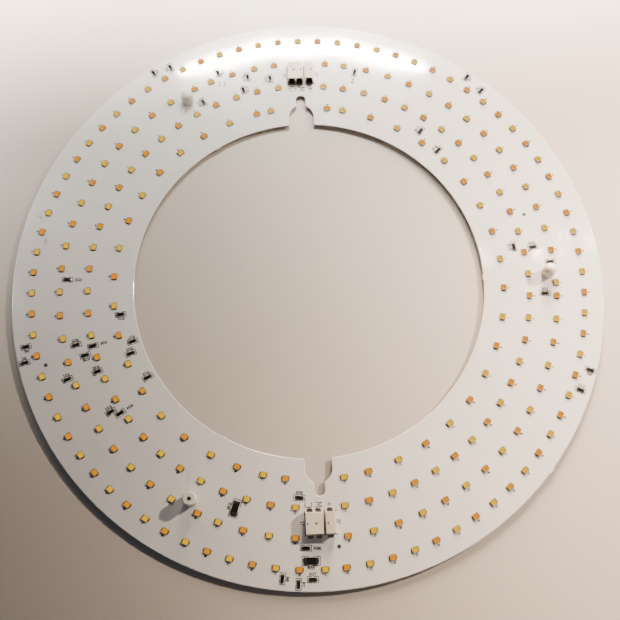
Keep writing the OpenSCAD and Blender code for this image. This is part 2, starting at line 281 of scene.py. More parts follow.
# Pen strokes of the printed characters, on a grid 4 wide and 6 high
GLYPHS = {
    "0": [[(1, 0), (3, 0), (4, 1), (4, 5), (3, 6), (1, 6), (0, 5), (0, 1), (1, 0)]],
    "1": [[(1, 5), (2, 6), (2, 0)], [(1, 0), (3, 0)]],
    "2": [[(0, 5), (1, 6), (3, 6), (4, 5), (4, 4), (0, 0), (4, 0)]],
    "3": [[(0, 6), (4, 6), (2, 4), (4, 2), (4, 1), (3, 0), (1, 0), (0, 1)]],
    "4": [[(3, 0), (3, 6), (0, 2), (4, 2)]],
    "5": [[(4, 6), (0, 6), (0, 3), (3, 3), (4, 2), (4, 1), (3, 0), (0, 0)]],
    "6": [[(4, 6), (2, 6), (0, 4), (0, 1), (1, 0), (3, 0), (4, 1), (4, 2), (3, 3), (0, 3)]],
    "7": [[(0, 6), (4, 6), (1, 0)]],
    "8": [[(1, 3), (0, 4), (0, 5), (1, 6), (3, 6), (4, 5), (4, 4), (3, 3), (1, 3), (0, 2), (0, 1),
           (1, 0), (3, 0), (4, 1), (4, 2), (3, 3)]],
    "9": [[(0, 0), (2, 0), (4, 2), (4, 5), (3, 6), (1, 6), (0, 5), (0, 4), (1, 3), (4, 3)]],
    "C": [[(4, 5), (3, 6), (1, 6), (0, 5), (0, 1), (1, 0), (3, 0), (4, 1)]],
    "J": [[(4, 6), (4, 1), (3, 0), (1, 0), (0, 1)]],
    "R": [[(0, 0), (0, 6), (3, 6), (4, 5), (4, 4), (3, 3), (0, 3)], [(2, 3), (4, 0)]],
    "W": [[(0, 6), (0.4, 0), (2, 4), (3.6, 0), (4, 6)]],
    "+": [[(2, 1.3), (2, 4.7)], [(0.3, 3), (3.7, 3)]],
}
GLYPH_W, GLYPH_H, GLYPH_PITCH = 4, 6, 5.6


class Shape:
    """Points and faces of one piece, gathered a copied form at a time."""

    def __init__(self):
        self.points = []
        self.faces = []
        self.marks = {}

    def add(self, form, place, **marks):
        """Copies a form to a place; marks are named values, one for each of its points."""
        first = len(self.points)
        self.points += [place @ Vector(point) for point in form[0]]
        self.faces += [[first + i for i in face] for face in form[1]]
        for name, values in marks.items():
            self.marks.setdefault(name, []).extend(values)

    def piece(self, name, material, slot, smooth=False):
        """Makes the object, which moves with the board and takes the given material; the slot is not used."""
        mesh = bpy.data.meshes.new(name)
        mesh.from_pydata(self.points, [], self.faces)
        for mark, values in self.marks.items():
            mesh.attributes.new(mark, "FLOAT", "POINT").data.foreach_set("value", values)
        mesh.polygons.foreach_set("use_smooth", [smooth] * len(mesh.polygons))
        mesh.materials.append(material)
        mesh.update()
        piece = bpy.data.objects.new(name, mesh)
        bpy.context.scene.collection.objects.link(piece)
        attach(piece, BODY)
        return piece


class Pen:
    """Draws ink on the board's face as thin strokes."""

    def __init__(self, look, width):
        self.width = width
        self.low = -look.ink * INK_SUNK
        self.high = look.ink
        self.shape = Shape()

    def line(self, place, *points):
        """Strokes from point to point."""
        for start, end in zip(points, points[1:]):
            self.shape.add(prism(stroke_outline(start, end, self.width), self.low, self.high), place)

    def text(self, place, words, height):
        """Characters in a row, with their middle at the place."""
        unit = height / GLYPH_H
        start = -((len(words) - 1) * GLYPH_PITCH + GLYPH_W) / 2
        for i, character in enumerate(words):
            for track in GLYPHS[character]:
                points = [((start + i * GLYPH_PITCH + x) * unit, (y - GLYPH_H / 2) * unit) for x, y in track]
                self.line(place, *points)

    def brackets(self, place, length, width, gap):
        """A pair of square brackets that face each other, with a gap between their tips."""
        for side in (-1, 1):
            x, tip = side * length / 2, side * gap / 2
            y = width / 2
            self.line(place, (tip, y), (x, y), (x, -y), (tip, -y))


# Wiring of the finishes


def operators(operation):
    """An operator of a value, which adds a Math node, and its reflected form."""

    def plain(value, other):
        return value.math(operation, value, other)

    def reflected(value, other):
        return value.math(operation, other, value)

    return plain, reflected


class Value:
    """A number that changes over a surface: an output socket whose arithmetic adds Math nodes."""

    def __init__(self, finish, socket):
        self.finish = finish
        self.socket = socket

    def math(self, operation, *terms):
        """Value of a Math node."""
        return self.finish.node("ShaderNodeMath", {"operation": operation}, dict(enumerate(terms)))

    __add__, __radd__ = operators("ADD")
    __sub__, __rsub__ = operators("SUBTRACT")
    __mul__, __rmul__ = operators("MULTIPLY")
    __truediv__, __rtruediv__ = operators("DIVIDE")
    __pow__, __rpow__ = operators("POWER")

    def least(self, other):
        """The lesser of this value and another."""
        return self.math("MINIMUM", self, other)

    def wave(self):
        """Cosine of this value."""
        return self.math("COSINE", self)

    def step(self, low, high):
        """Smooth step from 0 at low to 1 at high."""
        settings = {"interpolation_type": "SMOOTHSTEP"}
        ends = {"Value": self, "From Min": low, "From Max": high}
        return self.finish.node("ShaderNodeMapRange", settings, ends)

    def ramp(self, stops):
        """Value read off a ramp of (position, height) stops."""
        return self.finish.node("ShaderNodeValToRGB", {"stops": stops}, {"Fac": self})

    def between(self, low, high):
        """Low where this value is 0, high where it is 1."""
        return low + self * (high - low)


class Finish:
    """A material, or the room's light, that is wired node by node."""

    def __init__(self, owner, shader="Principled BSDF"):
        owner.use_nodes = True
        self.owner = owner
        self.tree = owner.node_tree
        self.shader = self.tree.nodes[shader]

    @classmethod
    def material(cls, name):
        """Finish of a new material."""
        return cls(bpy.data.materials.new(name))

    def node(self, kind, settings=None, sockets=None, output=0):
        """Adds a node, sets it, feeds its sockets and gives one of its outputs."""
        made = self.tree.nodes.new(kind)
        for key, value in (settings or {}).items():
            if key == "stops":
                self._stops(made.color_ramp, value)
            else:
                setattr(made, key, value)
        for key, value in (sockets or {}).items():
            self.feed(made.inputs[key], value)
        return Value(self, made.outputs[output])

    def _stops(self, ramp, stops):
        while len(ramp.elements) < len(stops):
            ramp.elements.new(1.0)
        for element, (position, height) in zip(ramp.elements, stops):
            element.position = position
            element.color = (height, height, height, 1.0)

    def feed(self, socket, value):
        """Links a value to a socket, or sets it there."""
        if isinstance(value, Value):
            self.tree.links.new(value.socket, socket)
        elif socket.type == "RGBA":
            socket.default_value = tuple(value)[:3] + (1.0,)
        else:
            socket.default_value = value

    def place(self):
        """Position on the piece, in metres."""
        return self.node("ShaderNodeTexCoord", output="Object")

    def axes(self):
        """The three coordinates of that position."""
        split = self.node("ShaderNodeSeparateXYZ", None, {0: self.place()}).socket.node
        return [Value(self, axis) for axis in split.outputs]

    def noise(self, scale, detail=2.0, stretch=None):
        """Cloudy value around 0.5; scale counts its cells in a metre, stretch is a factor for each axis."""
        place = self.place()
        if stretch:
            place = self.node("ShaderNodeVectorMath", {"operation": "MULTIPLY"}, {0: place, 1: stretch})
        return self.node("ShaderNodeTexNoise", None, {"Vector": place, "Scale": scale, "Detail": detail})

    def clouds(self, scale, detail=3.0, low=0.3, high=0.7):
        """Patches of 0 and 1 with soft edges, from a noise that is cut between two heights."""
        return self.noise(scale, detail).step(low, high)

    def blend(self, share, first, second):
        """Colour between two colours."""
        sockets = {"Factor": share, 6: first, 7: second}
        return self.node("ShaderNodeMix", {"data_type": "RGBA"}, sockets, output=2)

    def bump(self, height):
        """Normal of a surface that is raised by a height in metres."""
        return self.node("ShaderNodeBump", None, {"Height": height, "Distance": 1.0, "Strength": 1.0})

    def wire(self, **sockets):
        """Feeds the shader's sockets, named with _ for a space, and gives what is finished."""
        for key, value in sockets.items():
            self.feed(self.shader.inputs[key.replace("_", " ").title().replace("Ior", "IOR")], value)
        return self.owner


def dress(node, material):
    """Gives a CAD node its material."""
    mesh = NODES[node].data
    mesh.materials.clear()
    mesh.materials.append(material)


def soften(node, width, segments=2, clamp=True):
    """Rounds a CAD node's edges, by modifiers that leave its mesh as it is.

    With clamp, the rounding of the whole node is as narrow as its shortest edges allow.
    """
    weld = NODES[node].modifiers.new("weld", "WELD")
    weld.merge_threshold = WELD
    bevel = NODES[node].modifiers.new("edges", "BEVEL")
    bevel.width = width
    bevel.segments = segments
    bevel.limit_method = "ANGLE"
    bevel.angle_limit = SHARP
    bevel.harden_normals = True
    bevel.use_clamp_overlap = clamp


def board_finish(look):
    """Glossy white mask over concentric copper, on a bare aluminium core."""
    finish = Finish.material("white mask on aluminium")
    place = finish.place()
    x, y, z = finish.axes()
    radius = (x * x + y * y) ** 0.5
    # Lanes between the LED circles, where the traces run side by side
    stops = [(0.0, 1.0)]
    for circle in reversed(CIRCLE_RADII):
        near, far = look.pad_half, look.pad_half + look.trace_pitch
        stops += [((circle + d) / OUTER_R, h) for d, h in ((-far, 1), (-near, 0), (near, 0), (far, 1))]
    lanes = (radius / OUTER_R).ramp(stops)
    comb = (radius * (2 * math.pi / look.trace_pitch)).wave().step(low=0.6, high=0.95)
    # Sectors of the ring that have such traces
    direction = finish.node("ShaderNodeVectorMath", {"operation": "NORMALIZE"}, {0: place})
    sectors = finish.node("ShaderNodeTexNoise", None, {"Vector": direction, "Scale": 3.2, "Detail": 0.0})
    grooves = comb * lanes * sectors.step(low=0.4, high=0.6)
    height = finish.noise(scale=900.0) * look.peel - grooves * look.trace_relief
    # Mask on top, stamped edge at the sides painted dark for the shade on them, bare metal below
    mask = z.step(FACE_Z - look.mask_t * FADE, FACE_Z - look.mask_t)
    under = 1 - z.step(UNDER_Z + look.edge, UNDER_Z + look.edge * FADE)
    dull = finish.clouds(scale=18.0, detail=4.0) * MASK_CLOUDS + grooves * MASK_GAPS
    white = finish.blend(dull, look.mask, look.mask_shade)
    for spot in (look.smudge_a, look.smudge_b):
        away = finish.node("ShaderNodeVectorMath", {"operation": "DISTANCE"}, {0: place, 1: spot}, "Value")
        rubbed = finish.clouds(scale=420.0, low=0.45, high=0.65)
        smear = (1 - away.step(SMUDGE_CORE * look.smudge_r, look.smudge_r)) * rubbed
        white = finish.blend(smear * SMUDGE_COVER, white, look.smudge)
    brushed = finish.noise(scale=1.0, detail=3.0, stretch=(60.0, 6000.0, 6000.0))
    metal = finish.blend(brushed, look.core_shade, look.core)
    # Painted shade: the sides take a dark colour for the shade that falls on them
    side = finish.blend(finish.noise(scale=1200.0, detail=3.0), look.side, look.side_shade)
    glossy = finish.noise(scale=60.0, detail=4.0).between(look.gloss, look.gloss + 0.05)
    return finish.wire(
        base_color=finish.blend(mask, finish.blend(under, side, metal), white),
        metallic=under,
        roughness=mask * glossy + (1 - mask) * brushed.between(0.35, 0.55),
        normal=finish.bump(mask * height + (1 - mask) * brushed * BRUSH_H),
        ior=look.mask_ior,
        coat_weight=mask,
        coat_roughness=look.gloss,
    )


def moulded_finish(name, colour, shade, rough, grain, grain_scale, dark=None, **sockets):
    """Moulded or fired piece with faint clouds and a grain; dark is a colour of painted shade and a function
    for its share.
    """
    finish = Finish.material(name)
    fine = finish.noise(grain_scale)
    tone = finish.blend(finish.clouds(scale=140.0), colour, shade)
    if dark:
        dark_colour, share = dark
        tone = finish.blend(share(finish), tone, dark_colour)
    return finish.wire(
        base_color=tone,
        roughness=fine.between(rough - 0.1, rough + 0.1),
        normal=finish.bump(fine * grain),
        **sockets,
    )


def tinned_finish(name, colour, shade, rough, metal=1.0):
    """Tinned metal or solder, a little uneven; below 1, metal stands for tin that has gone dull."""
    finish = Finish.material(name)
    cloud = finish.clouds(scale=900.0, high=0.75)
    return finish.wire(
        base_color=finish.blend(cloud, colour, shade),
        metallic=metal,
        roughness=cloud.between(rough, rough + 0.15),
        normal=finish.bump(finish.noise(scale=1500.0) * TIN_H),
    )


def phosphor_finish(name, colour, shade, glow):
    """Phosphor in clear resin, deeper in colour towards the walls, with a painted glow that shines evenly,
    whatever light falls on it.
    """
    finish = Finish.material(name)
    inward = finish.node("ShaderNodeAttribute", {"attribute_name": "inward"}, output="Fac")
    tint = finish.node("ShaderNodeAttribute", {"attribute_name": "tint"}, output="Fac")
    near = 1 - inward.step(low=0.0, high=0.55)
    specks = finish.noise(scale=2600.0, detail=3.0) - 0.5
    share = near * PHOSPHOR_WALL + tint * PHOSPHOR_TINT + specks * PHOSPHOR_SPECKS
    tone = finish.blend(share, colour, shade)
    return finish.wire(
        base_color=tone,
        roughness=finish.noise(scale=1800.0).between(0.32, 0.44),
        normal=finish.bump(finish.noise(scale=4000.0, detail=3.0) * PHOSPHOR_H),
        # Painted glow: the phosphor shines by its own light, brighter than its lit colour
        emission_color=tone,
        emission_strength=glow,
        specular_ior_level=0.15,
        ior=1.3,
    )


def ink_finish(look):
    """Black printing ink, worn thin in places."""
    finish = Finish.material("black print")
    thin = finish.clouds(scale=2200.0, low=0.45, high=0.8)
    return finish.wire(
        base_color=finish.blend(thin, look.black, look.thin),
        roughness=thin.between(0.55, 0.65),
        normal=finish.bump(thin * INK_WEAR_H),
    )


def floor_finish(look):
    """Pale paper-like floor with faint fibres."""
    finish = Finish.material("pale floor")
    fibre = finish.noise(scale=700.0, detail=4.0)
    share = finish.clouds(scale=7.0, detail=4.0) * FLOOR_CLOUDS + (fibre - 0.5) * FLOOR_FIBRES
    return finish.wire(
        base_color=finish.blend(share, look.floor, look.floor_shade),
        roughness=fibre.between(look.floor_gloss, look.floor_gloss + 0.1),
        normal=finish.bump(fibre * FIBRE_H),
    )


# Sizes and colours that a user would change


def property_kind(make, **settings):
    """Function that makes one kind of property from its name, description and default."""

    def made(name, description, default):
        return make(name=name, description=description, default=default, **settings)

    return made


# Lengths, places and extents are in metres, angles in radians
length = property_kind(FloatProperty, min=0.0, unit="LENGTH", precision=5)
colour = property_kind(FloatVectorProperty, size=3, min=0.0, max=1.0, subtype="COLOR")
point = property_kind(FloatVectorProperty, size=3, subtype="TRANSLATION", precision=5)
extent = property_kind(FloatVectorProperty, size=2, min=0.0, unit="LENGTH", precision=4)
angle = property_kind(FloatProperty, min=0.0, subtype="ANGLE")
turns = property_kind(FloatVectorProperty, size=3, subtype="EULER")
number = property_kind(FloatProperty, min=0.0, precision=4)

# Flat lights, with their powers in watts and their spreads in degrees
LAMPS = {
    "key": dict(
        what="the small, distant light on the right", tint=(1.0, 0.8, 0.63), power=0.64, spread=30.0,
        place=(0.76, 0.34, 0.57), aim=(0.13, 0.0, 0.0), size=(0.05, 0.05),
    ),
    "soft": dict(
        what="the wide light behind, on the right", tint=(1.0, 0.74, 0.54), power=4.3, spread=41.6,
        place=(0.3, 0.446, 0.2), aim=(0.309, -0.075, 0.0), size=(0.45, 0.3),
    ),
    "side": dict(
        what="the high light in front, on the right", tint=(1.0, 0.74, 0.54), power=0.6, spread=58.6,
        place=(0.402, -0.242, 0.576), aim=(0.36, -0.02, 0.0), size=(0.3, 0.3),
    ),
    "left": dict(
        what="the light behind, on the left", tint=(1.0, 0.94, 0.85), power=1.06, spread=41.8,
        place=(-0.427, 0.26, 0.32), aim=(-0.298, 0.195, 0.0), size=(0.25, 0.25),
    ),
    "back": dict(
        what="the light over the floor behind the board", tint=(1.0, 0.84, 0.7), power=3.8, spread=48.0,
        place=(0.0, 0.25, 0.3), aim=(0.0, 0.25, 0.0), size=(0.5, 0.1),
    ),
    "strip": dict(
        what="one of the bent strip's three lengths", tint=(1.0, 0.94, 0.85), power=0.083, spread=56.0,
        place=(0.0128, 0.3293, 0.3), aim=(0.0093, 0.13, 0.0), size=(0.105, 0.0155),
    ),
}


def lamp_properties(name, what, tint, power, spread, place, aim, size):
    """Properties of one flat light, under names that start with its own."""
    title = name.title()
    return {
        f"{name}_tint": colour(f"{title} tint", f"Tint of {what}", tint),
        f"{name}_power": number(f"{title} power", f"Power of {what}, in watts", power),
        f"{name}_spread": angle(f"{title} spread", f"Spread of {what}", math.radians(spread)),
        f"{name}_place": point(f"{title} place", f"Place of {what}", place),
        f"{name}_aim": point(f"{title} aim", f"Point that {what} faces", aim),
        f"{name}_size": extent(f"{title} size", f"Width and height of {what}", size),
    }


class BoardLook(bpy.types.PropertyGroup):
    """Finish of the plate."""

    mask: colour("Mask", "White solder mask", (0.8, 0.79, 0.775))
    mask_shade: colour("Mask shade", "Mask in its duller clouds and over the gaps", (0.74, 0.73, 0.71))
    core: colour("Core", "Bare aluminium", (0.8, 0.8, 0.79))
    core_shade: colour("Core shade", "Aluminium in its brush marks", (0.55, 0.55, 0.55))
    # The stamped edge is painted dark, in both of its colours, for the shade on the plate's sides
    side: colour("Side", "Stamped edge of the plate", (0.15, 0.135, 0.12))
    side_shade: colour("Side shade", "Stamped edge where it is torn", (0.1, 0.09, 0.08))
    smudge: colour("Smudge", "Dirt that was rubbed on the mask", (0.35, 0.29, 0.23))
    smudge_a: point("First smudge", "Middle of the first smudge", (-133.5 * MM, 27.9 * MM, FACE_Z))
    smudge_b: point("Second smudge", "Middle of the second smudge", (-137.7 * MM, 39.8 * MM, FACE_Z))
    smudge_r: length("Smudge size", "Radius of a smudge", 4 * MM)
    mask_t: length("Mask thickness", "Depth to which the white layers reach down the edge", 0.4 * MM)
    edge: length("Edge", "Rounding of the plate's edges", 0.4 * MM)
    trace_pitch: length("Trace pitch", "Distance between traces that run side by side", 1.1 * MM)
    trace_relief: length("Trace relief", "Depth of the gaps between traces", 0.045 * MM)
    pad_half: length("Pad half width", "Half the width of the smooth band under the LEDs", 3 * MM)
    peel: length("Peel", "Height of the mask's fine waves", 0.002 * MM)
    gloss: number("Gloss", "Roughness of the mask", 0.06)
    mask_ior: number("Mask index", "Refractive index of the mask", 1.6)


class LedLook(bpy.types.PropertyGroup):
    """Finish of the LED packages."""

    # The housing colours are white resin painted warm for the phosphor light that spreads into it
    housing: colour("Housing", "White moulded resin, warmed by the phosphor", (0.95, 0.79, 0.47))
    housing_shade: colour("Housing shade", "Resin in its duller clouds", (0.89, 0.71, 0.4))
    # The foot colour is painted shade on a package's sides, where its lead frame also shows
    foot: colour("Foot", "Sides of a package, where its lead frame shows", (0.03, 0.02, 0.012))
    foot_h: length("Foot height", "Height of those sides, up to the light rim", 0.69 * MM)
    # The lead colours are painted dark with the shade along a package's sides
    lead: colour("Lead", "Tinned lead and its solder, with flux on them", (0.12, 0.09, 0.055))
    lead_shade: colour("Lead shade", "Lead where the flux is thick", (0.07, 0.05, 0.032))
    # The phosphor colours also colour their painted glow
    cool: colour("Cool", "Yellow phosphor", (0.092, 0.054, 0.0))
    cool_shade: colour("Cool shade", "Yellow phosphor along the walls", (0.086, 0.045, 0.0))
    warm: colour("Warm", "Orange phosphor", (0.085, 0.031, 0.0))
    warm_shade: colour("Warm shade", "Orange phosphor along the walls", (0.078, 0.024, 0.0))
    # The glow is painted light, the same whatever light falls on the phosphors
    glow: number("Glow", "How strongly the phosphors glow in room light", 10.0)
    edge: length("Edge", "Rounding of a housing's edges", 0.05 * MM)
    sink: length("Sink", "How far the phosphor sinks in its middle", 0.09 * MM)
    facet: length("Facet", "Distance between points of the phosphor's outline", 0.4 * MM)


class PrintLook(bpy.types.PropertyGroup):
    """Print on the board."""

    black: colour("Ink", "Black ink", (0.016, 0.016, 0.018))
    thin: colour("Thin ink", "Ink where it is worn thin", (0.09, 0.088, 0.085))
    ink: length("Ink thickness", "Height of the ink above the mask", 0.025 * MM)
    line: length("Line", "Width of an outline", 0.34 * MM)
    bold: length("Bold line", "Width of the strokes of letters and numbers", 0.34 * MM)
    channel_line: length("Channel line", "Width of the strokes of an LED's letter", 0.25 * MM)
    channel_h: length("Channel letter", "Height of an LED's letter", 1.0 * MM)
    channel_out: length("Channel distance", "Distance of that letter from the LED's middle", 2.45 * MM)
    chip_margin: length("Chip margin", "Room between a chip's body and its brackets, at its ends", 1.1 * MM)
    chip_side: length("Chip side", "Room between a chip's body and its brackets, at its sides", 0.48 * MM)
    number_h: length("Number height", "Height of a chip's number", 1.2 * MM)
    number_gap: length("Number gap", "Distance of a chip's number from its brackets", 1.0 * MM)
    end_share: number("End share", "How much the room past a chip's end counts against that at its side", 0.7)
    letter_h: length("Letter height", "Height of a supply letter", 3.3 * MM)
    letter_gap: length("Letter gap", "Distance of a supply letter from the wire side", 2.95 * MM)
    letter_pitch: length("Letter pitch", "Distance between supply letters", 4.9 * MM)
    letter_shift: length("Letter shift", "Sideways shift of the supply letters", 0.8 * MM)
    block_h: length("Block mark", "Height of the mark beside a terminal", 1.5 * MM)
    corner: length("Corner", "Length of a corner mark at a terminal", 1.0 * MM)
    fiducial_r: length("Fiducial", "Radius of a camera mark", 0.98 * MM)
    fiducial_a: point("First camera mark", "Place of a camera mark", (7.9 * MM, -130.1 * MM, FACE_Z))
    fiducial_b: point("Second camera mark", "Place of a camera mark", (-131.7 * MM, -37.5 * MM, FACE_Z))
    fiducial_c: point("Third camera mark", "Place of a camera mark", (113.8 * MM, 32.5 * MM, FACE_Z))
    spare: point("Empty place", "Place of a chip that isn't fitted", (-42.3 * MM, 115.2 * MM, FACE_Z))
    spare_l: length("Empty length", "Length of the brackets at that place", 3.0 * MM)
    spare_w: length("Empty width", "Width of the brackets at that place", 2.2 * MM)


class SolderLook(bpy.types.PropertyGroup):
    """Solder joints."""

    # The solder colours are painted dark for the dark room that the solder mirrors
    solder: colour("Solder", "Solder and plated ends", (0.12, 0.115, 0.105))
    shade: colour("Solder shade", "Solder in its duller clouds", (0.07, 0.067, 0.062))
    metal: number("Metal", "How much of the solder shines like metal, from 0 to 1", 0.75)
    led_l: length("LED joint", "Length of the solder beyond an LED's lead", 0.2 * MM)
    led_w: length("LED joint width", "Width of the solder at an LED's lead", 2.2 * MM)
    led_h: length("LED joint height", "Height of the solder at an LED's lead", 0.17 * MM)
    chip_l: length("Chip joint", "Length of the solder beyond a chip's end", 0.65 * MM)
    chip_h: length("Chip joint height", "Height of the solder at a chip's end", 0.42 * MM)
    tab_l: length("Tab joint", "Length of the solder beyond a terminal's tab", 0.3 * MM)
    tab_w: length("Tab joint width", "Width of the solder at a terminal's tab", 2.2 * MM)
    tab_h: length("Tab joint height", "Height of the solder at a terminal's tab", 0.2 * MM)
    overlap: length("Overlap", "How far the solder reaches over a lead or tab", 0.06 * MM)


class TerminalLook(bpy.types.PropertyGroup):
    """Finish of the supply terminals."""

    housing: colour("Housing", "Cream moulding", (0.72, 0.65, 0.55))
    housing_shade: colour("Housing shade", "Moulding in its duller clouds", (0.65, 0.575, 0.47))
    # The hollow colour is painted shade down in the wire entries and on the wire side under them
    hollow: colour("Hollow", "Moulding down in the wire entries", (0.02, 0.013, 0.009))
    sill: number("Sill", "How dark the wire side is under its entries, from 0 to 1", 0.85)
    hollow_in: length("Hollow depth", "Depth below the outer faces where a hollow is dark", 0.3 * MM)
    chamfer: length("Chamfer", "Size of the slope along the wire side's top edge", 1.05 * MM)
    edge: length("Edge", "Rounding of a housing's edges", 0.12 * MM)
    contact: colour("Contact", "Tinned contact", (0.3, 0.29, 0.28))
    contact_shade: colour("Contact shade", "Tin in its duller clouds", (0.16, 0.155, 0.15))


class PostLook(bpy.types.PropertyGroup):
    """Finish of the support posts."""

    nylon: colour("Nylon", "Natural nylon", (0.82, 0.79, 0.71))
    nylon_shade: colour("Nylon shade", "Nylon in its duller clouds", (0.76, 0.72, 0.62))
    depth: length("Depth", "How far light spreads inside the nylon", 0.8 * MM)


class ChipLook(bpy.types.PropertyGroup):
    """Finish of the chip resistors."""

    # The ceramic is painted near black for the shade round each chip
    ceramic: colour("Ceramic", "Bare ceramic", (0.05, 0.048, 0.046))
    ceramic_shade: colour("Ceramic shade", "Ceramic in its duller clouds", (0.035, 0.034, 0.032))
    coat: colour("Coat", "Black glaze", (0.005, 0.005, 0.006))
    coat_shade: colour("Coat shade", "Glaze in its duller clouds", (0.012, 0.012, 0.013))


class StageLook(bpy.types.PropertyGroup):
    """Floor, light and camera."""

    floor: colour("Floor", "Pale floor", (0.54, 0.49, 0.44))
    floor_shade: colour("Floor shade", "Floor in its duller clouds", (0.51, 0.46, 0.41))
    floor_half: length("Floor half width", "Half the width of the floor", 3.0)
    floor_gloss: number("Floor gloss", "Roughness of the floor", 0.42)
    strip_pivot: point("Strip pivot", "Middle of the strip's bend", (0.0087, 0.0963, 0.0))
    strip_step: angle("Strip step", "Turn from one of the strip's lengths to the next", math.radians(16.7))
    zenith: colour("Zenith", "Light from straight above", (0.02, 0.02, 0.023))
    horizon: colour("Horizon", "Light from the sides", (0.2, 0.22, 0.25))
    camera: point("Camera", "Place of the camera", (-12.14 * MM, -134.87 * MM, 416.35 * MM + FACE_Z))
    lens: number("Lens", "Focal length in millimetres, on a sensor 36 mm wide", 49.97)
    tilt: turns(
        "Tilt", "Turn of the camera from straight down",
        (math.radians(16.148), math.radians(-0.847), math.radians(-2.661)),
    )


for lamp_name, lamp_values in LAMPS.items():
    StageLook.__annotations__.update(lamp_properties(lamp_name, **lamp_values))


class LedRingLooks(bpy.types.PropertyGroup):
    """All sizes and colours of the LED ring."""

    board: PointerProperty(type=BoardLook)
    led: PointerProperty(type=LedLook)
    marks: PointerProperty(type=PrintLook)
    solder: PointerProperty(type=SolderLook)
    terminal: PointerProperty(type=TerminalLook)
    post: PointerProperty(type=PostLook)
    chip: PointerProperty(type=ChipLook)
    stage: PointerProperty(type=StageLook)


# Operators


class LEDRING_OT_stage(bpy.types.Operator):
    """Sets up the floor, the lights and the camera"""

    bl_idname = "led_ring.stage"
    bl_label = "Stage"

    def execute(self, context):
        look = context.scene.led_ring.stage
        self.floor(look)
        self.world(context, look)
        for name in LAMPS:
            if name == "strip":
                for turn in (-look.strip_step, 0.0, look.strip_step):
                    self.light(look, name, turn, "ELLIPSE")
            else:
                self.light(look, name)
        camera = bpy.data.cameras.new("camera")
        camera.lens = look.lens
        camera.clip_start = NEAREST
        seat = bpy.data.objects.new("camera", camera)
        seat.location = look.camera
        seat.rotation_euler = look.tilt
        context.scene.collection.objects.link(seat)
        context.scene.camera = seat
        return {"FINISHED"}

    def floor(self, look):
        """Flat floor under the posts' heads."""
        half = look.floor_half
        mesh = bpy.data.meshes.new("floor")
        corners = [(-half, -half, 0), (half, -half, 0), (half, half, 0), (-half, half, 0)]
        mesh.from_pydata(corners, [], [(0, 1, 2, 3)])
        mesh.materials.append(floor_finish(look))
        floor = bpy.data.objects.new("floor", mesh)
        bpy.context.scene.collection.objects.link(floor)

    def world(self, context, look):
        """Room light that is dim overhead and brighter at the sides."""
        room = Finish(bpy.data.worlds.new("room"), "Background")
        direction = room.node("ShaderNodeTexCoord", output="Generated")
        height = room.node("ShaderNodeSeparateXYZ", None, {0: direction}, "Z")
        context.scene.world = room.wire(color=room.blend(height, look.horizon, look.zenith))

    def light(self, look, name, turn=0.0, shape="RECTANGLE"):
        """Flat light, set from the properties that start with its name and swung round the pivot."""
        pivot = Matrix.Translation(look.strip_pivot)
        swing = pivot @ Matrix.Rotation(turn, 4, "Z") @ pivot.inverted()
        place, aim = (swing @ Vector(getattr(look, f"{name}_{end}")) for end in ("place", "aim"))
        lamp = bpy.data.lights.new(name, "AREA")
        lamp.shape = shape
        lamp.size, lamp.size_y = getattr(look, f"{name}_size")
        lamp.color = getattr(look, f"{name}_tint")
        lamp.energy = getattr(look, f"{name}_power")
        lamp.spread = getattr(look, f"{name}_spread")
        seat = bpy.data.objects.new(name, lamp)
        seat.location = place
        seat.rotation_euler = (place - aim).to_track_quat("Z", "Y").to_euler()
        seat.visible_camera = False
        bpy.context.scene.collection.objects.link(seat)


class LEDRING_OT_board(bpy.types.Operator):
    """Finishes the plate: white mask, trace relief, stamped edges painted dark for their shade, and bare
    metal underneath
    """

    bl_idname = "led_ring.board"
    bl_label = "Board"

    def execute(self, context):
        look = context.scene.led_ring.board
        dress("board", board_finish(look))
        soften("board", look.edge, segments=3, clamp=False)
        return {"FINISHED"}


class LEDRING_OT_packages(bpy.types.Operator):
    """Finishes the LED housings and leads"""

    bl_idname = "led_ring.packages"
    bl_label = "LED packages"

    def execute(self, context):
        look = context.scene.led_ring.led
        # The resin is painted warm for the phosphor light that spreads into it
        resin = moulded_finish(
            "white resin", look.housing, look.housing_shade, rough=0.38, grain=0.003 * MM, grain_scale=5000.0,
            # The lower sides of each housing are painted dark for their shade
            dark=(look.foot, lambda finish: self.low(finish, FACE_Z + look.foot_h)), ior=1.5,
        )
        # The leads are painted dark with the shade along a package's sides
        tin = tinned_finish("tinned leads", look.lead, look.lead_shade, rough=0.28)
        for c in CIRCLES:
            dress(f"led_housings_{c}", resin)
            soften(f"led_housings_{c}", look.edge, segments=1)
            dress(f"led_leads_{c}", tin)
        return {"FINISHED"}

    def low(self, finish, height):
        """How surely a point lies below a height."""
        z = finish.axes()[2]
        return 1 - z.step(height, height * FOOT_FADE)


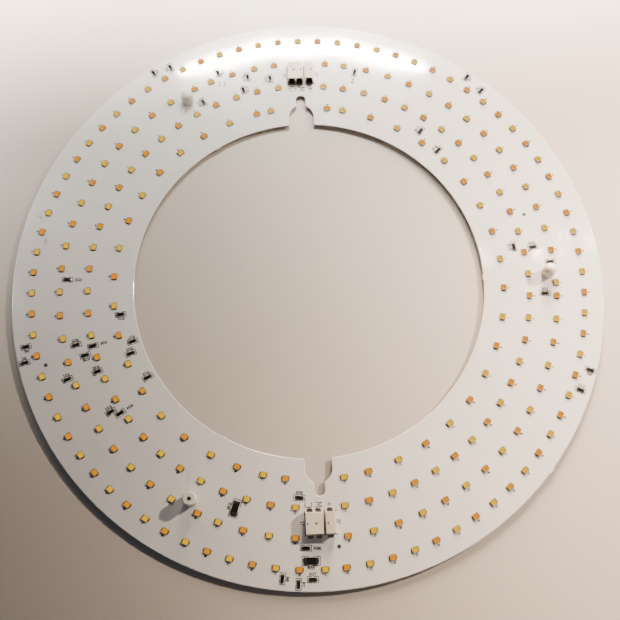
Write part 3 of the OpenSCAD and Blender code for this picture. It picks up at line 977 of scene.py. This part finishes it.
class LEDRING_OT_phosphors(bpy.types.Operator):
    """Fills the LED pockets with phosphor that sinks in its middle"""

    bl_idname = "led_ring.phosphors"
    bl_label = "Phosphors"

    def execute(self, context):
        look = context.scene.led_ring.led
        for channel in CHANNEL_SPOTS:
            shape = Shape()
            for count, spot in enumerate(CHANNEL_SPOTS[channel]):
                self.fill(shape, look, spot, count)
            tone, shade = getattr(look, channel), getattr(look, f"{channel}_shade")
            material = phosphor_finish(f"{channel} phosphor", tone, shade, look.glow)
            piece = shape.piece(f"{channel}_fillings", material, f"{channel}_phosphor", smooth=True)
            nodes = [f"{channel}_phosphors_{c}" for c in CIRCLES]
            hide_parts(*nodes)
        return {"FINISHED"}

    def fill(self, shape, look, spot, count):
        """Fills one pocket, inside the outline of the CAD's own filling."""
        back = spot.place().inverted()
        top = max(p.z for p in spot.points)
        flat = [back @ p for p in spot.points if top - p.z < look.sink / 2]
        flat.sort(key=lambda p: math.atan2(p.y, p.x))
        outline = refine([(p.x, p.y) for p in flat], look.facet)
        points, faces, inward = dish(outline, spot.low_z, spot.high_z, look.sink)
        tint = (count * TINT_STEP) % 1.0
        shape.add((points, faces), spot.place(), inward=inward, tint=[tint] * len(points))


class LEDRING_OT_solder(bpy.types.Operator):
    """Adds the solder joints of LEDs, chips and terminal tabs"""

    bl_idname = "led_ring.solder"
    bl_label = "Solder"

    def execute(self, context):
        looks = context.scene.led_ring
        look = looks.solder
        # The LED solder takes the leads' colours, painted dark with the shade along a package's sides
        shade_painted = tinned_finish("fluxed solder", looks.led.lead, looks.led.lead_shade, rough=0.34)
        # This solder is painted dark for the dark room that it mirrors
        metal = tinned_finish("solder", look.solder, look.shade, rough=0.22, metal=look.metal)
        self.leds(look).piece("led_solder", shade_painted, "led_lead", smooth=True)
        self.chips(look).piece("chip_solder", metal, "chip_end", smooth=True)
        self.tabs(look).piece("tab_solder", metal, "terminal_contact", smooth=True)
        return {"FINISHED"}

    def leds(self, look):
        """Joints at both leads of each LED."""
        shape = Shape()
        form = fillet(look.led_l + look.overlap, look.led_w, look.led_h)
        for c in CIRCLES:
            leads = spots(f"led_leads_{c}")
            for spot in LED_SPOTS[c]:
                for lead in leads:
                    away = lead.centre - spot.centre
                    if away.length < spot.size.x:
                        half = away.length + min(lead.size.x, lead.size.y) / 2 - look.overlap
                        here = stand(*spot.centre, math.atan2(away.y, away.x))
                        shape.add(form, here @ stand(half, 0.0, 0.0))
        return shape

    def chips(self, look):
        """Joints at both ends of each chip."""
        shape = Shape()
        for spot in ALL_CHIPS:
            form = fillet(look.chip_l, spot.size.y * CHIP_JOINT, look.chip_h)
            for turn in (0.0, math.pi):
                shape.add(form, spot.place(turn=turn) @ stand(spot.size.x / 2, 0.0, 0.0))
        return shape

    def tabs(self, look):
        """Joints at both tabs of each terminal contact."""
        shape = Shape()
        form = fillet(look.tab_l + look.overlap, look.tab_w, look.tab_h)
        for node in TERMINAL_CONTACTS:
            for points in solids(node):
                low, high = reach(points)
                for y, turn in ((low.y + look.overlap, -QUARTER), (high.y - look.overlap, QUARTER)):
                    shape.add(form, stand((low.x + high.x) / 2, y, FACE_Z, turn))
        return shape


class LEDRING_OT_channel_letters(bpy.types.Operator):
    """Prints the letter of its channel outside each LED, with its head towards the ring's middle"""

    bl_idname = "led_ring.channel_letters"
    bl_label = "Channel letters"

    def execute(self, context):
        look = context.scene.led_ring.marks
        pen = Pen(look, look.channel_line)
        for channel, letter in (("cool", "C"), ("warm", "W")):
            for spot in CHANNEL_SPOTS[channel]:
                outward = stand(0.0, 0.0, 0.0, math.atan2(spot.centre.y, spot.centre.x))
                here = outward @ stand(spot.radius + look.channel_out, 0.0, FACE_Z, QUARTER)
                pen.text(here, letter, look.channel_h)
        pen.shape.piece("channel_letters", ink_finish(look), "chip_coat")
        return {"FINISHED"}


class LEDRING_OT_chip_marks(bpy.types.Operator):
    """Prints brackets and numbers round the chips"""

    bl_idname = "led_ring.chip_marks"
    bl_label = "Chip marks"

    def execute(self, context):
        look = context.scene.led_ring.marks
        thin = Pen(look, look.line)
        bold = Pen(look, look.bold)
        for count, spot in enumerate(ALL_CHIPS):
            long = spot.size.x + 2 * look.chip_margin
            wide = spot.size.y + 2 * look.chip_side
            thin.brackets(spot.place(), long, wide, spot.size.x / BRACKET_PARTS)
            self.number(bold, look, spot, long, wide, f"R{count + 1}")
        thin.brackets(stand(*look.spare), look.spare_l, look.spare_w, look.spare_l / BRACKET_PARTS)
        ink = ink_finish(look)
        thin.shape.piece("chip_brackets", ink, "chip_coat")
        bold.shape.piece("chip_numbers", ink, "chip_coat")
        return {"FINISHED"}

    def number(self, pen, look, spot, long, wide, words):
        """Prints a number on the clearest side of the chip, or past an end if that has far more room."""
        side = wide / 2 + look.number_gap
        end = long / 2 + look.number_gap + len(words) * look.number_h / 2
        others = [other.centre for other in ALL_LEDS + ALL_CHIPS if other is not spot] + TERMINAL_CORNERS

        def room(choice):
            here = spot.place(*choice).translation
            rims = OUTER_R - here.xy.length, here.xy.length - INNER_R
            clear = min([*rims, *((here - other).length for other in others)])
            return clear * look.end_share if choice[0] else clear

        best = max(((0.0, side), (0.0, -side), (end, 0.0), (-end, 0.0)), key=room)
        pen.text(spot.place(*best), words, look.number_h)


class LEDRING_OT_terminal_marks(bpy.types.Operator):
    """Prints the supply letters and the corner marks round the terminals"""

    bl_idname = "led_ring.terminal_marks"
    bl_label = "Terminal marks"

    def execute(self, context):
        look = context.scene.led_ring.marks
        pen = Pen(look, look.bold)
        for side in SIDES:
            self.letters(pen, look, side)
            self.outline(pen, look, side)
        pen.shape.piece("terminal_marks", ink_finish(look), "chip_coat")
        return {"FINISHED"}

    def letters(self, pen, look, side):
        """Supply letters between the wire side and the keyhole, with their heads to the left."""
        low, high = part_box(f"two_pole_housing_{side}")
        front, outwards = (low.y, 1) if side == "top" else (high.y, -1)
        for i, letter in enumerate("CW+"):
            x = outwards * look.letter_shift + (i - 1) * look.letter_pitch
            here = stand(x, front - outwards * look.letter_gap, FACE_Z, QUARTER)
            pen.text(here, letter, look.letter_h)

    def outline(self, pen, look, side):
        """Lines left of both blocks, corner marks on their right, and a mark on either side."""
        boxes = [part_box(node) for node in TERMINAL_HOUSINGS if node.endswith(side)]
        boxes.sort(key=lambda box: box[0].x)
        left = boxes[0][0].x - look.line
        right = boxes[-1][1].x + look.line
        between = (boxes[0][1].x + boxes[-1][0].x) / 2
        near = min(low.y for low, high in boxes)
        far = max(high.y for low, high in boxes)
        here = stand(0.0, 0.0, FACE_Z)
        for x in (left, between):
            pen.line(here, (x, near), (x, far))
        for y, dy in ((near, 1), (far, -1)):
            pen.line(here, (right + look.corner, y), (right, y), (right, y + dy * look.corner))
        for x, words in ((left - look.block_h, "J1"), (right + look.block_h, "J2")):
            pen.text(stand(x, (near + far) / 2, FACE_Z, QUARTER), words, look.block_h)


class LEDRING_OT_fiducials(bpy.types.Operator):
    """Adds the round tinned marks that a placing machine looks for"""

    bl_idname = "led_ring.fiducials"
    bl_label = "Camera marks"

    def execute(self, context):
        looks = context.scene.led_ring
        look = looks.marks
        shape = Shape()
        outline = arc((0.0, 0.0), look.fiducial_r, 0.0, 2 * math.pi, DOT_SIDES)[:-1]
        form = prism(outline, -look.ink, look.ink)
        for spot in (look.fiducial_a, look.fiducial_b, look.fiducial_c):
            shape.add(form, stand(*spot))
        dull = tinned_finish("dull tin", looks.terminal.contact_shade, look.thin, rough=0.35)
        shape.piece("camera_marks", dull, "terminal_contact")
        return {"FINISHED"}


class LEDRING_OT_terminals(bpy.types.Operator):
    """Finishes the terminals' housings and contacts"""

    bl_idname = "led_ring.terminals"
    bl_label = "Terminals"

    def execute(self, context):
        look = context.scene.led_ring.terminal
        tin = tinned_finish("tinned contacts", look.contact, look.contact_shade, rough=0.3)
        for node in TERMINAL_HOUSINGS:
            # Painted shade darkens the hollows and the wire side of each housing
            cream = moulded_finish(
                f"cream moulding of {node}", look.housing, look.housing_shade,
                rough=0.5, grain=0.006 * MM, grain_scale=3200.0,
                dark=(look.hollow, lambda finish: self.inside(finish, look, node)), ior=1.5,
            )
            dress(node, cream)
            soften(node, look.edge)
        for node in TERMINAL_CONTACTS:
            dress(node, tin)
        return {"FINISHED"}

    def inside(self, finish, look, node):
        """How much painted shade a point gets: 0 on a block's outer faces, some on its wire side, 1 down in a
        hollow.
        """
        low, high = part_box(node)
        x, y, z = finish.axes()
        front = y - low.y if node.endswith("top") else high.y - y
        slope = (front + (high.z - z) - look.chamfer) * math.sqrt(0.5)
        depth = slope
        for wall in (x - low.x, high.x - x, y - low.y, high.y - y, high.z - z):
            depth = depth.least(wall)
        # Painted shade: darkest deep in a hollow, and on the upright wire side under the entries
        hollow = depth.step(look.hollow_in / 3, look.hollow_in)
        upright = 1 - (z - high.z + look.chamfer).step(-look.edge, look.edge)
        sill = (1 - front.step(look.edge, 2 * look.edge)) * upright * look.sill
        return 1 - (1 - hollow) * (1 - sill)


class LEDRING_OT_posts(bpy.types.Operator):
    """Finishes the support posts"""

    bl_idname = "led_ring.posts"
    bl_label = "Posts"

    def execute(self, context):
        look = context.scene.led_ring.post
        nylon = moulded_finish(
            "natural nylon", look.nylon, look.nylon_shade, rough=0.36, grain=0.004 * MM, grain_scale=1500.0,
            subsurface_weight=0.25, subsurface_scale=look.depth, subsurface_radius=(1.0, 0.9, 0.75), ior=1.53,
        )
        for node in POSTS:
            dress(node, nylon)
        return {"FINISHED"}


class LEDRING_OT_chips(bpy.types.Operator):
    """Finishes the chip resistors"""

    bl_idname = "led_ring.chips"
    bl_label = "Chips"

    def execute(self, context):
        look = context.scene.led_ring.chip
        solder = context.scene.led_ring.solder
        # The ceramic is painted near black for the shade round each chip
        ceramic = moulded_finish(
            "grey ceramic", look.ceramic, look.ceramic_shade,
            rough=0.5, grain=0.004 * MM, grain_scale=6000.0, ior=1.6,
        )
        glaze = moulded_finish(
            "black glaze", look.coat, look.coat_shade,
            rough=0.6, grain=0.004 * MM, grain_scale=4000.0, ior=1.3, specular_ior_level=0.2,
        )
        # The plated ends share the solder's colours, painted dark for the dark room that they mirror
        tin = tinned_finish("plated ends", solder.solder, solder.shade, rough=0.22, metal=solder.metal)
        for size in CHIP_SIZES:
            dress(f"{size}_chip_bodies", ceramic)
            dress(f"{size}_chip_ends", tin)
            dress(f"{size}_chip_coats", glaze)
        return {"FINISHED"}


class LEDRING_PT_panel(bpy.types.Panel):
    """Lists the operators of the LED ring with their sizes and colours"""

    bl_idname = "LEDRING_PT_panel"
    bl_label = "LED ring"
    bl_space_type = "VIEW_3D"
    bl_region_type = "UI"
    bl_category = "LED ring"

    def draw(self, context):
        for operator in OPERATORS:
            self.layout.operator(operator.bl_idname)
        looks = context.scene.led_ring
        for group in LedRingLooks.__annotations__:
            box = self.layout.box()
            box.label(text=group.title())
            look = getattr(looks, group)
            for key in type(look).__annotations__:
                box.prop(look, key)


LOOKS = (
    BoardLook, LedLook, PrintLook, SolderLook, TerminalLook, PostLook, ChipLook, StageLook, LedRingLooks,
)
OPERATORS = (
    LEDRING_OT_stage, LEDRING_OT_board, LEDRING_OT_packages, LEDRING_OT_phosphors, LEDRING_OT_solder,
    LEDRING_OT_channel_letters, LEDRING_OT_chip_marks, LEDRING_OT_terminal_marks, LEDRING_OT_fiducials,
    LEDRING_OT_terminals, LEDRING_OT_posts, LEDRING_OT_chips,
)
CLASSES = LOOKS + OPERATORS + (LEDRING_PT_panel,)


def register():
    for cls in CLASSES:
        bpy.utils.register_class(cls)
    bpy.types.Scene.led_ring = PointerProperty(type=LedRingLooks)


def unregister():
    del bpy.types.Scene.led_ring
    for cls in reversed(CLASSES):
        bpy.utils.unregister_class(cls)


def main():
    register()
    bpy.ops.led_ring.stage()
    bpy.ops.led_ring.board()
    bpy.ops.led_ring.packages()
    bpy.ops.led_ring.phosphors()
    bpy.ops.led_ring.solder()
    bpy.ops.led_ring.channel_letters()
    bpy.ops.led_ring.chip_marks()
    bpy.ops.led_ring.terminal_marks()
    bpy.ops.led_ring.fiducials()
    bpy.ops.led_ring.terminals()
    bpy.ops.led_ring.posts()
    bpy.ops.led_ring.chips()


if __name__ == "__main__":
    main()
